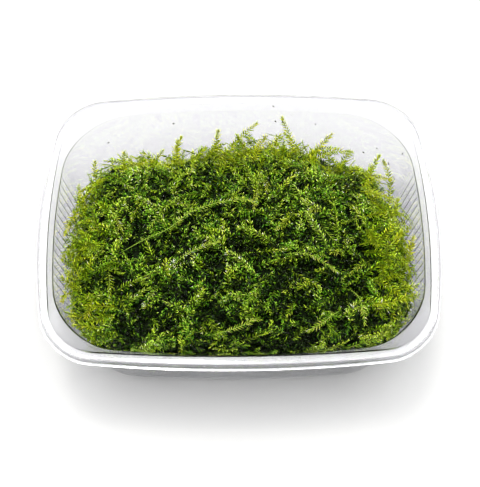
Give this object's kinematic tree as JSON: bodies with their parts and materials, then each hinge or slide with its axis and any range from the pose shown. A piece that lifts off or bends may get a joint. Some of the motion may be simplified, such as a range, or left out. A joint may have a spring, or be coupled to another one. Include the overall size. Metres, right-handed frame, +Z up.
{
  "type": "tissue culture spiky moss in a tub",
  "caption": "Dense cushion of spiky aquarium moss with standing sprigs and trailing stems, filling a clear rectangular round-cornered open tub.",
  "frame": {"origin": "on the surface the tub stands on, under the middle of the tub", "axes": "+X along the tub's long side, -Y towards the tub's front as pictured, +Z up"},
  "size_m": [0.179, 0.134, 0.069],
  "materials": {
    "tub": "clear thermoformed sheet, glossy",
    "moss": "wet leafy moss, deep green",
    "sprig": "fresh leafy tips, yellow-green",
    "stem": "pale trailing stems, yellow-green"
  },
  "bodies": {
    "root": {"tub": "tub", "moss_cushion": "moss", "sprig_01": "sprig", "sprig_02": "sprig", "sprig_03": "sprig", "sprig_04": "sprig", "sprig_05": "sprig", "sprig_06": "sprig", "sprig_07": "sprig", "sprig_08": "sprig", "sprig_09": "sprig", "sprig_10": "sprig", "sprig_11": "sprig", "sprig_12": "sprig", "sprig_13": "sprig", "sprig_14": "sprig", "sprig_15": "sprig", "sprig_16": "sprig", "sprig_17": "sprig", "sprig_18": "sprig", "sprig_19": "sprig", "sprig_20": "sprig", "trailing_stem_01": "stem", "trailing_stem_02": "stem", "trailing_stem_03": "stem", "trailing_stem_04": "stem", "trailing_stem_05": "stem", "trailing_stem_06": "stem"}
  },
  "joints": []
}
